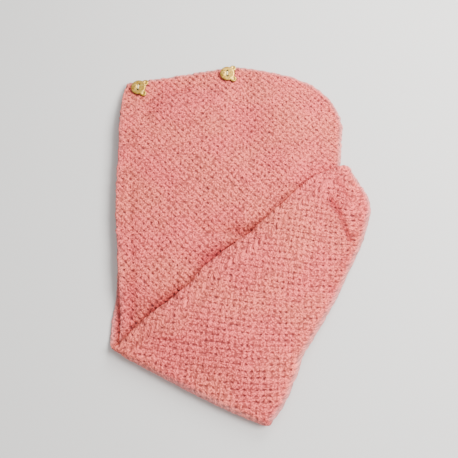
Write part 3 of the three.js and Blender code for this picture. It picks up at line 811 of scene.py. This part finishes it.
def make_panel(name, material):
    """One panel as a closed mesh: a fine outer face with tufts, and an inner face with half its rows and
    columns that shares the points along its edge."""
    is_upper = name == "upper_panel"
    outer, inner, relief, cloth, rim, depth = panel_grids(name)
    facing = unit_normals(outer) * (1 if is_upper else -1)
    outer = outer + facing * relief[..., None]
    outer[..., 2] = np.maximum(outer[..., 2], 0)

    fine = np.arange(outer.shape[0] * outer.shape[1]).reshape(outer.shape[:2])
    coarse = fine[::2, ::2].copy()
    rows, columns = coarse.shape
    coarse[1:-1, 1:-1] = fine.size + np.arange((rows - 2) * (columns - 2)).reshape(rows - 2, columns - 2)

    def both(values, inner_values):
        inner_values = inner_values[2:-2:2, 2:-2:2]
        fields = values.shape[2:]
        return np.concatenate([values.reshape(-1, *fields), inner_values.reshape(-1, *fields)])
    corners = np.vstack([
        widen(grid_corners(fine, is_upper), 8),
        half_grid_corners(fine, coarse, not is_upper),
    ])
    panel = make_piece(name + "_plush", both(outer, inner), corners, material)
    # The rim and crease values carry the painted sheen and the painted shade into the material
    for attribute, values in (("cloth", cloth), ("rim", rim), ("crease", depth)):
        set_attribute(panel, attribute, both(values, values))
    return panel


# Materials

def srgb(red, green, blue):
    """A colour given as it shows on a screen, 0 to 255, in the linear values that nodes take."""
    shares = np.array([red, green, blue]) / 255
    linear = np.where(shares <= 0.04045, shares / 12.92, ((shares + 0.055) / 1.055) ** 2.4)
    return (*linear.tolist(), 1.0)


GOLD_DEEP = srgb(222, 168, 62)
GOLD_LIGHT = srgb(246, 206, 106)
GOLD_PAINTED_SHADE = srgb(62, 40, 16)
PLUSH_WARM = srgb(252, 119, 103)
PLUSH_ROSE = srgb(253, 106, 103)
# painted sheen of the pile along the outline and over the fold
PLUSH_PAINTED_SHEEN = srgb(240, 178, 172)
# painted shade in the grooves and in the pits between the tufts
PLUSH_PIT_SHADE = srgb(116, 46, 50)
PLUSH_SHEEN = srgb(255, 226, 220)
CREASE_SHADE = (0.55, 0.36, 0.42, 1.0)  # painted shade: what a deep crease leaves of the colour
WHITE = (1.0, 1.0, 1.0, 1.0)
COTTON = (srgb(255, 240, 190), srgb(224, 196, 128))  # its colour and its darker fibres
ELASTIC = (srgb(226, 146, 142), srgb(186, 100, 100))
FLOOR_PAPER = srgb(214, 212, 208)
STUDIO_WHITE = srgb(250, 250, 252)

# Noises: scale, detail and roughness
WOBBLE_NOISE = (2.4, 1.0, 0.5)
PATCH_NOISE = (1.3, 1.0, 0.5)
BROAD_NOISE = (0.10, 2.0, 0.5)
FIBRE_NOISE = (9.0, 3.0, 0.7)
WEAR_NOISE = (420.0, 4.0, 0.5)
THREAD_NOISE = (1500.0, 3.0, 0.5)

# Plush pattern, in tufts
WOBBLE = 0.42  # how far the lattice wanders between the points of the mesh
FLUFF_BEND = 0.5  # how far the tufts of fibre do
FLUFF_SCALE = 3.3
PIT_LENGTH = 0.7  # less than 1 draws the pits out along one way
PIT_FADE = (0.05, 0.25)
PIT_LEAST = 0.5  # the weakest pit
GROOVE_FADE = (0.0, 0.15)
CROSS_FADE = (0.0, 0.13)
CROSS_SHARE = 0.4  # how dark the grooves that run the other way are, as a share

# Ranges of the noises, as from low, from high, to low, to high, or where they fade
PATCH_FADE = (0.60, 0.44)
BROAD_FADE = (0.65, 0.35)
FLUFF_SHADE = (0.1, 0.75, 1.42, 0.42)
FIBRE_SHADE = (0.3, 0.7, 0.76, 1.24)

# How strongly each part of the pattern colours the plush, as painted shade in the grooves, pits and creases
# and painted sheen at the rims, and how far it stands out or lies low
GROOVE_DARK = 0.42
PIT_DARK = 0.9
CREASE_DARK = 0.6
RIM_SHEEN = 0.5
FIBRE_HIGH = 0.6
FLUFF_LOW = 0.9
PIT_LOW = 0.8
GROOVE_LOW = 0.3
PILE_HEIGHT = 0.0011  # in metres

# Gold and thread: where the noise fades, its range of roughness, how dark the painted shade in the recesses
# makes the gold and the roughness it adds there, strength and height of the relief
WEAR_FADE = (0.65, 0.35)
WEAR_ROUGH = (0.0, 1.0, 0.24, 0.44)
WEAR_BUMP = (0.15, 0.0001)
PAINTED_SHADE_DARK = 0.85
RECESS_ROUGH = 0.3
THREAD_FADE = (0.7, 0.3)
THREAD_BUMP = (0.3, 0.0001)


class Nodes:
    """A material with its own nodes, and short ways to add the kinds that it uses."""

    def __init__(self, name):
        self.material = bpy.data.materials.new(name)
        self.material.use_nodes = True
        self.tree = self.material.node_tree
        self.shader = self.tree.nodes["Principled BSDF"]

    def put(self, socket, value):
        """Links another node's output to an input, or sets the input to a plain value."""
        if isinstance(value, bpy.types.NodeSocket):
            self.tree.links.new(value, socket)
        else:
            socket.default_value = value

    def add(self, kind, inputs, output=0, **settings):
        """Adds a node with its settings and inputs and returns one of its outputs."""
        node = self.tree.nodes.new("ShaderNode" + kind)
        for key, value in settings.items():
            setattr(node, key, value)
        for key, value in inputs.items():
            self.put(node.inputs[key], value)
        return node.outputs[output]

    def attribute(self, name, output="Fac"):
        return self.add("Attribute", {}, output, attribute_name=name)

    def noise(self, place, sizes, output="Fac"):
        scale, detail, roughness = sizes
        inputs = {"Vector": place, "Scale": scale, "Detail": detail, "Roughness": roughness}
        return self.add("TexNoise", inputs, output)

    def maths(self, operation, a, b=0.0):
        return self.add("Math", {0: a, 1: b}, operation=operation)

    def times(self, a, b):
        return self.maths("MULTIPLY", a, b)

    def vectors(self, operation, *values):
        return self.add("VectorMath", dict(enumerate(values)), "Vector", operation=operation)

    def rescaled(self, value, low, high, to_low, to_high, **settings):
        """Rescaling of a value from one range to another, held at both ends."""
        inputs = {"Value": value, "From Min": low, "From Max": high, "To Min": to_low, "To Max": to_high}
        return self.add("MapRange", inputs, "Result", **settings)

    def fade(self, value, low, high):
        """Smooth step of a value, from 1 at low to 0 at high."""
        return self.rescaled(value, low, high, 1.0, 0.0, interpolation_type="SMOOTHSTEP")

    def blend(self, share, a, b):
        """Colour at a share of the way from a to b."""
        return self.add("Mix", {0: share, 6: a, 7: b}, 2, data_type="RGBA")

    def bump(self, height, strength, distance):
        return self.add("Bump", {"Strength": strength, "Distance": distance, "Height": height}, "Normal")

    def finished(self, inputs):
        """Sets or links the inputs of the shader and returns the material."""
        for key, value in inputs.items():
            self.put(self.shader.inputs[key], value)
        return self.material


def plush_material():
    """Plush: pink with warmer and rosier patches, with painted highlights and shade speckled over its pile,
    painted shade in the grooves, in the pits between the tufts and in the creases, and a paler painted sheen
    where the pile turns over an edge."""
    nodes = Nodes("plush")
    times, fade, blend, vectors = nodes.times, nodes.fade, nodes.blend, nodes.vectors
    cloth = nodes.attribute("cloth", "Vector")
    rim = nodes.attribute("rim")
    crease = nodes.attribute("crease")

    # The lattice wanders a little more between the points of the mesh, so that its lines break up
    shift = vectors("ADD", nodes.noise(cloth, WOBBLE_NOISE, "Color"), (-0.5, -0.5, -0.5))
    place = vectors("MULTIPLY_ADD", shift, (WOBBLE, WOBBLE, 0.0), cloth)
    du, dv = (nodes.maths("PINGPONG", nodes.add("SeparateXYZ", {"Vector": place}, way), 0.5) for way in "XY")
    long_v = times(dv, PIT_LENGTH)
    radius = nodes.maths("SQRT", nodes.maths("ADD", times(du, du), times(long_v, long_v)))
    nearest = vectors("FLOOR", vectors("ADD", place, (0.5, 0.5, 0.5)))
    chance = nodes.add("TexWhiteNoise", {"Vector": nearest}, "Value", noise_dimensions="2D")
    pit = times(fade(radius, *PIT_FADE), nodes.rescaled(chance, 0.0, 1.0, 1.0, PIT_LEAST))
    other_way = times(fade(dv, *CROSS_FADE), CROSS_SHARE)
    groove = nodes.maths("MAXIMUM", fade(du, *GROOVE_FADE), other_way)
    groove = times(groove, fade(nodes.noise(cloth, PATCH_NOISE), *PATCH_FADE))

    # Tufts of fibre, and finer fibres in them, with painted highlights on their high middles and painted
    # shade in the low parts between them
    bent = vectors("MULTIPLY_ADD", shift, (FLUFF_BEND, FLUFF_BEND, 0.0), cloth)
    fluff = nodes.add("TexVoronoi", {"Vector": bent, "Scale": FLUFF_SCALE}, "Distance")
    fibre = nodes.noise(cloth, FIBRE_NOISE)
    highlight_and_shade = times(nodes.rescaled(fluff, *FLUFF_SHADE), nodes.rescaled(fibre, *FIBRE_SHADE))

    colour = blend(fade(nodes.noise(cloth, BROAD_NOISE), *BROAD_FADE), PLUSH_ROSE, PLUSH_WARM)
    colour = vectors("MULTIPLY", colour, highlight_and_shade)
    # Painted shade in the grooves and in the pits between the tufts
    colour = blend(times(groove, GROOVE_DARK), colour, PLUSH_PIT_SHADE)
    colour = blend(times(pit, PIT_DARK), colour, PLUSH_PIT_SHADE)
    # Painted shade in the creases and along the tail's inner edge, darker where they are deeper
    shade = blend(times(crease, CREASE_DARK), WHITE, CREASE_SHADE)
    colour = vectors("MULTIPLY", colour, shade)
    # Painted sheen where the pile turns over the outline and over the fold
    colour = blend(times(rim, RIM_SHEEN), colour, PLUSH_PAINTED_SHEEN)

    height = times(fibre, FIBRE_HIGH)
    for lower, share in ((fluff, FLUFF_LOW), (pit, PIT_LOW), (groove, GROOVE_LOW)):
        height = nodes.maths("SUBTRACT", height, times(lower, share))
    return nodes.finished({
        "Base Color": colour,
        "Normal": nodes.bump(height, 1.0, PILE_HEIGHT),
        "Roughness": 0.95,
        "Specular IOR Level": 0.15,
        "Sheen Weight": 0.12,
        "Sheen Roughness": 0.45,
        "Sheen Tint": PLUSH_SHEEN,
    })


def metal_material():
    """Satin champagne gold with faint brushing and duller patches, and painted shade in its recesses."""
    nodes = Nodes("gold")
    painted_shade = nodes.attribute("painted_shade")
    wear = nodes.noise(nodes.add("TexCoord", {}, "Object"), WEAR_NOISE)
    colour = nodes.blend(nodes.fade(wear, *WEAR_FADE), GOLD_DEEP, GOLD_LIGHT)
    rough = nodes.rescaled(wear, *WEAR_ROUGH)
    return nodes.finished({
        # Painted shade darkens the gold in the recesses and on the underside
        "Base Color": nodes.blend(nodes.times(painted_shade, PAINTED_SHADE_DARK), colour, GOLD_PAINTED_SHADE),
        "Roughness": nodes.maths("ADD", rough, nodes.times(painted_shade, RECESS_ROUGH)),
        "Normal": nodes.bump(wear, *WEAR_BUMP),
        "Metallic": 1.0,
    })


def thread_material(name, colour, dark):
    """Sewing thread or elastic: fine fibres lighter and darker along it."""
    nodes = Nodes(name)
    fibre = nodes.noise(nodes.add("TexCoord", {}, "Object"), THREAD_NOISE)
    return nodes.finished({
        "Base Color": nodes.blend(nodes.fade(fibre, *THREAD_FADE), dark, colour),
        "Normal": nodes.bump(fibre, *THREAD_BUMP),
        "Roughness": 0.75,
        "Sheen Weight": 0.3,
    })


# Buttons, their thread and the loop

def head_margin(x, y):
    """Distance inside the head's oval rim, nearly: one less its share of the radius, times the mean."""
    share = np.hypot(x / (BUTTON_TALL / 2), y / (BUTTON_WIDE / 2))
    return (1 - share) * (BUTTON_TALL + BUTTON_WIDE) / 4


def ear_margin(x, y):
    """Distance inside the round rim of the nearer ear."""
    return EAR_DIAMETER / 2 - np.hypot(x - EAR_RISE, np.abs(y) - EAR_SPREAD)


def button_radius(turn):
    """Outline in polar form: the further of the head's oval and the far side of an ear's circle, which a
    ray at an angle t from the ear's middle, d away, leaves at d cos t + root(r^2 - d^2 sin^2 t)."""
    oval = 1 / np.hypot(np.cos(turn) / (BUTTON_TALL / 2), np.sin(turn) / (BUTTON_WIDE / 2))
    away = math.hypot(EAR_RISE, EAR_SPREAD)
    off = np.abs(np.arctan2(np.sin(turn), np.cos(turn))) - math.atan2(EAR_SPREAD, EAR_RISE)
    under = (EAR_DIAMETER / 2) ** 2 - (away * np.sin(off)) ** 2
    ear = np.where(under > 0, away * np.cos(off) + np.sqrt(np.maximum(under, 0)), 0)
    return np.maximum(oval, ear)


def slope_drop(margin):
    """Fall of a face near its rim: the drop times 1 less a quarter of an ellipse of the margin."""
    return BUTTON_DROP * (1 - quarter(margin / BUTTON_SLOPE))


def button_marks(x, y):
    """Where points lie among a button's marks: shares of the radius from the middle of the nearer ear's
    bowl, of the muzzle and of the nose, and the distance outside the nearer sewing hole."""
    out = 1 + HOLLOW_SHIFT / math.hypot(EAR_RISE, EAR_SPREAD)
    bowl = np.hypot(x - EAR_RISE * out, np.abs(y) - EAR_SPREAD * out) / (HOLLOW_DIAMETER / 2)
    low = x - (MUZZLE_TALL - BUTTON_TALL) / 2 - MUZZLE_MARGIN
    muzzle = np.hypot(low / (MUZZLE_TALL / 2), y / (MUZZLE_WIDE / 2))
    nose = np.hypot((low - NOSE_PLACE) / (NOSE_TALL / 2), y / (NOSE_WIDE / 2))
    eye = np.hypot(x, np.abs(y) - EYE_SPACING / 2) - EYE_DIAMETER / 2
    return bowl, muzzle, nose, eye


def button_top(x, y):
    """Height of a button's face: the higher of the head and the ears, each falling at its own rim, less
    the bowl in each ear, plus the muzzle and the nose, which are caps, and less a soft edge round each
    sewing hole."""
    head = head_margin(x, y)
    ear = ear_margin(x, y)
    bowl, muzzle, nose, eye = button_marks(x, y)
    top = np.where(head >= -ON_RIM, BUTTON_THICK - slope_drop(head), 0)
    top = np.maximum(top, np.where(ear >= -ON_RIM, EAR_THICK - slope_drop(ear), 0))
    top = np.where(top > 0, top, BUTTON_THICK - BUTTON_DROP)
    top = top - HOLLOW_DEPTH * rise(HOLLOW_STEEP * (1 - bowl))
    for share, high in ((muzzle, MUZZLE_RISE), (nose, NOSE_RISE)):
        top = top + high * np.sqrt(np.maximum(1 - share ** 2, 0))
    return top - EYE_DROP * (1 - quarter(eye / EYE_SLOPE))


def button_painted_shade(x, y):
    """Share of painted shade in a button's recesses: bells round the rims of the head and ears, round the
    muzzle and in the bowls of the ears, and fades from the nose and from the sewing holes."""
    head = head_margin(x, y)
    ear = ear_margin(x, y)
    bowl, muzzle, nose, eye = button_marks(x, y)
    shade_parts = [
        RIM_PAINTED_SHADE[0] * bell(np.maximum(np.maximum(head, ear), 0), RIM_PAINTED_SHADE[1]),
        JOINT_PAINTED_SHADE[0] * np.where(ear > 0, bell(head, JOINT_PAINTED_SHADE[1]), 0),
    ]
    for place, (strength, width, middle) in ((bowl, BOWL_PAINTED_SHADE), (muzzle, MUZZLE_PAINTED_SHADE)):
        shade_parts.append(strength * bell(place - middle, width))
    for place, (strength, width, end) in ((nose, NOSE_PAINTED_SHADE), (eye, HOLE_PAINTED_SHADE)):
        shade_parts.append(strength * rise((end - place) / width))
    return np.maximum.reduce(shade_parts)


def button_surface():
    """A button as points and faces: rings round the middle on its face and on its underside, with points
    at even steps along the rim, joined round the rim and through the two sewing holes, where faces are
    left out and the points round them moved onto a circle."""
    turn = np.linspace(0, 2 * math.pi, DENSE_TURNS)
    outline = button_radius(turn)
    gone = passed(np.hypot(np.diff(outline * np.cos(turn)), np.diff(outline * np.sin(turn))))
    turn = np.interp(np.linspace(0, gone[-1], BUTTON_TURNS, endpoint=False), gone, turn)
    outline = button_radius(turn)
    margins = bent_steps(BUTTON_SLOPE, SLOPE_RINGS)
    inside = np.linspace(1, 0, BUTTON_RINGS + 1)[1:-1, None] * (outline - margins[-1])[None]
    reach = np.vstack([outline[None] - margins[:, None], inside])[::-1]
    x = np.concatenate([[0.0], (reach * np.cos(turn)).ravel()])
    y = np.concatenate([[0.0], (reach * np.sin(turn)).ravel()])

    grid = 1 + np.arange(reach.size).reshape(reach.shape)
    grid = np.hstack([grid, grid[:, :1]])
    none = np.full(BUTTON_TURNS, -1)
    fan = np.stack([0 * none, grid[0, :-1], grid[0, 1:], none], axis=-1)
    quads = np.vstack([grid_corners(grid, True), fan])
    present = quads >= 0
    count = present.sum(axis=1)
    middle_x, middle_y = (np.where(present, part[quads], 0).sum(axis=1) / count for part in (x, y))
    cut = np.hypot(middle_x, np.abs(middle_y) - EYE_SPACING / 2) < EYE_DIAMETER / 2
    kept = quads[~cut]
    edges = np.stack([quads[cut], np.roll(quads[cut], -1, axis=1)], axis=-1).reshape(-1, 2)
    known = {tuple(edge) for edge in edges}
    walls = np.array([(a, b) for a, b in edges if (b, a) not in known])
    round_hole = np.unique(walls)
    side = np.sign(y[round_hole]) * EYE_SPACING / 2
    stretch = EYE_DIAMETER / 2 / np.hypot(x[round_hole], y[round_hole] - side)
    x[round_hole] *= stretch
    y[round_hole] = side + (y[round_hole] - side) * stretch

    low = slope_drop(np.maximum(head_margin(x, y), ear_margin(x, y)))
    points = np.vstack([np.stack([x, y, button_top(x, y)], axis=-1), np.stack([x, y, low], axis=-1)])
    # Painted shade: the recesses of the face, and all of the underside
    painted_shade = np.concatenate([button_painted_shade(x, y), np.ones(len(x))])
    count = len(x)
    under = np.where(kept >= 0, kept + count, -1)[:, ::-1]
    rim_a, rim_b = grid[-1, 1:], grid[-1, :-1]
    rim = np.stack([rim_a, rim_b, rim_b + count, rim_a + count], axis=-1)
    hole = np.stack([walls[:, 0], walls[:, 1], walls[:, 1] + count, walls[:, 0] + count], axis=-1)
    return points, np.vstack([kept, under, rim, hole]), painted_shade


def tube_corners(rows, sides, closed):
    """Faces of rows of points round a path, with a cap at each end unless the path closes on itself."""
    grid = np.arange(rows * sides).reshape(rows, sides)
    wrapped = np.hstack([grid, grid[:, :1]])
    if closed:
        return grid_corners(np.vstack([wrapped, wrapped[:1]]), False)
    caps = np.stack([grid[0, ::-1], grid[-1]])
    return np.vstack([widen(grid_corners(wrapped, False), sides), caps])


def thread_surface(bottom):
    """Sewing thread: strands side by side that come up one hole, cross the face and go down the other.
    The path is two upright legs and a bar with quarter circles between, and each strand is a circle
    carried along it, set to one side by its number, more in the middle of the bar than in the holes."""
    half = EYE_SPACING / 2 - THREAD_IN
    top = BUTTON_THICK + THREAD_CLEARANCE + STRAND
    bend = bent_steps(THREAD_BEND, BEND_STEPS)
    side = half - bend
    high = top - bend[::-1]
    y = np.concatenate([[-half], -side, side[::-1], [half]])
    z = np.concatenate([[bottom], high, high[::-1], [bottom]])
    gone = passed(np.hypot(np.diff(y), np.diff(z)))
    y, z = (np.interp(np.linspace(0, gone[-1], THREAD_STEPS), gone, part) for part in (y, z))
    along = unit(np.stack([0 * y, np.gradient(y), np.gradient(z)], axis=-1))
    out = np.cross(along, [1.0, 0.0, 0.0])
    turn = np.linspace(0, 2 * math.pi, STRAND_SIDES, endpoint=False)[None, :, None]
    points, corners = [], []
    for number in range(STRANDS):
        place = number - (STRANDS - 1) / 2
        spread = place * (STRAND_STEP - STRAND_GATHER * (y / half) ** 2)
        arch = STRAND * (STRAND_ARCH - (place / STRANDS) ** 2) * (1 - (y / half) ** 2)
        middle = np.stack([spread, y, z + arch], axis=-1)
        tube = middle[:, None] + STRAND * (np.cos(turn) * [1.0, 0.0, 0.0] + np.sin(turn) * out[:, None])
        faces = tube_corners(THREAD_STEPS, STRAND_SIDES, False)
        corners.append(np.where(faces >= 0, faces + number * THREAD_STEPS * STRAND_SIDES, -1))
        points.append(tube.reshape(-1, 3))
    return np.vstack(points), np.vstack(corners)


def loop_surface():
    """Elastic loop: a band bent round a ring with straight sides and round ends. Its section is a flat
    rounded bar, ribbed across by a wave: powers of the sine and cosine square it off."""
    half = (LOOP_LENGTH - LOOP_WIDTH) / 2
    middle = (LOOP_WIDTH - LOOP_BAND) / 2
    arc = np.linspace(0, math.pi, LOOP_TURNS)
    straight = np.linspace(half, -half, LOOP_TURNS // 2)[1:-1]
    round_end = np.stack([middle * np.cos(arc), half + middle * np.sin(arc), np.cos(arc), np.sin(arc)])
    side = np.stack([0 * straight - middle, straight, 0 * straight - 1, 0 * straight])
    half_ring = np.hstack([round_end, side])
    x, y, away_x, away_y = np.hstack([half_ring, -half_ring])[..., None]

    turn = np.linspace(2 * math.pi, 0, LOOP_PROFILE, endpoint=False)
    sides = zip((np.cos(turn), np.sin(turn)), LOOP_SQUARE, (LOOP_BAND, LOOP_THICK))
    across, high = (np.sign(part) * np.abs(part) ** power * size / 2 for part, power, size in sides)
    rib = 1 - LOOP_RIB * (1 - np.abs(np.cos(across * math.pi * LOOP_RIBS / LOOP_BAND)))
    points = np.stack([x + away_x * across, y + away_y * across, 0 * x + high * rib], axis=-1)
    return points.reshape(-1, 3), tube_corners(len(x), LOOP_PROFILE, True)


def placed(points, angle, place):
    """Points turned about the upright axis and moved to a place."""
    x, y, z = points.T
    return np.stack([*turned(x, y, angle), z], axis=-1) + place


def make_button(name, along, turn, metal, cotton):
    """A button and its thread, where their CAD nodes lie."""
    edge = hood_seam[1] - hood_seam[0]
    inward = unit(np.array([edge[1], -edge[0]]))
    middle = hood_seam[0] + along * edge + BUTTON_INSET * inward
    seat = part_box(name)[0].z / MM - ROW_SHIFT[2]
    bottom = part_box(name + "_thread")[0].z / MM - ROW_SHIFT[2] - seat
    angle = math.radians(turn)
    place = (*middle, seat)
    points, corners, painted_shade = button_surface()
    button = make_piece(name + "_fine", placed(points, angle, place), corners, metal)
    # Share of painted shade for the gold's colour
    set_attribute(button, "painted_shade", painted_shade)
    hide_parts(name)
    points, corners = thread_surface(bottom)
    thread = make_piece(name + "_thread_fine", placed(points, angle, place), corners, cotton)
    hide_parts(name + "_thread")


def make_loop(elastic):
    """The elastic loop, where its CAD node lies."""
    points, corners = loop_surface()
    angle = math.atan2(loop_way[1], loop_way[0]) + math.pi / 2
    place = (*loop_middle, TABLE_CLEARANCE + LOOP_THICK / 2)
    piece = make_piece("fastening_loop_ribbed", placed(points, angle, place), corners, elastic)
    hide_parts("fastening_loop")


# Stage

def make_stage():
    """A pale floor, a soft world, one broad key light from the right and a fill from behind on the right."""
    bpy.ops.mesh.primitive_plane_add(size=FLOOR_SIZE, location=(0, 0, -FLOOR_DROP))
    floor = bpy.context.object
    floor.name = "floor"
    paper = Nodes("floor_paper").finished({"Base Color": FLOOR_PAPER, "Roughness": 0.8})
    floor.data.materials.append(paper)
    world = bpy.data.worlds.new("studio")
    world.use_nodes = True
    background = world.node_tree.nodes["Background"].inputs
    background["Color"].default_value = STUDIO_WHITE
    background["Strength"].default_value = WORLD_STRENGTH
    bpy.context.scene.world = world
    for name, place, size, power in LIGHTS:
        light = bpy.data.lights.new(name, "AREA")
        light.size = size
        light.energy = power
        lamp = bpy.data.objects.new(name, light)
        lamp.location = place
        lamp.rotation_euler = (-Vector(place)).to_track_quat("-Z", "Y").to_euler()
        bpy.context.collection.objects.link(lamp)


def make_camera():
    """The camera over the table, looking at its aim."""
    camera = bpy.data.objects.new("camera", bpy.data.cameras.new("camera"))
    camera.data.lens = CAMERA_LENS
    camera.location = Vector(CAMERA_PLACE + ROW_SHIFT) * MM
    way = (Vector(CAMERA_AIM) - Vector(CAMERA_PLACE)) * MM
    camera.rotation_euler = way.to_track_quat("-Z", "Y").to_euler()
    bpy.context.collection.objects.link(camera)
    bpy.context.scene.camera = camera


make_camera()
make_stage()
plush = plush_material()
gold = metal_material()
cotton = thread_material("cotton", *COTTON)
elastic = thread_material("elastic", *ELASTIC)

flat_area = cloth_area() * MM * MM
for panel_name in PANEL_ROWS:
    panel = make_panel(panel_name, plush)
    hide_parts(panel_name)

for button_name, along, turn in BUTTONS:
    make_button(button_name, along, turn, gold, cotton)
make_loop(elastic)
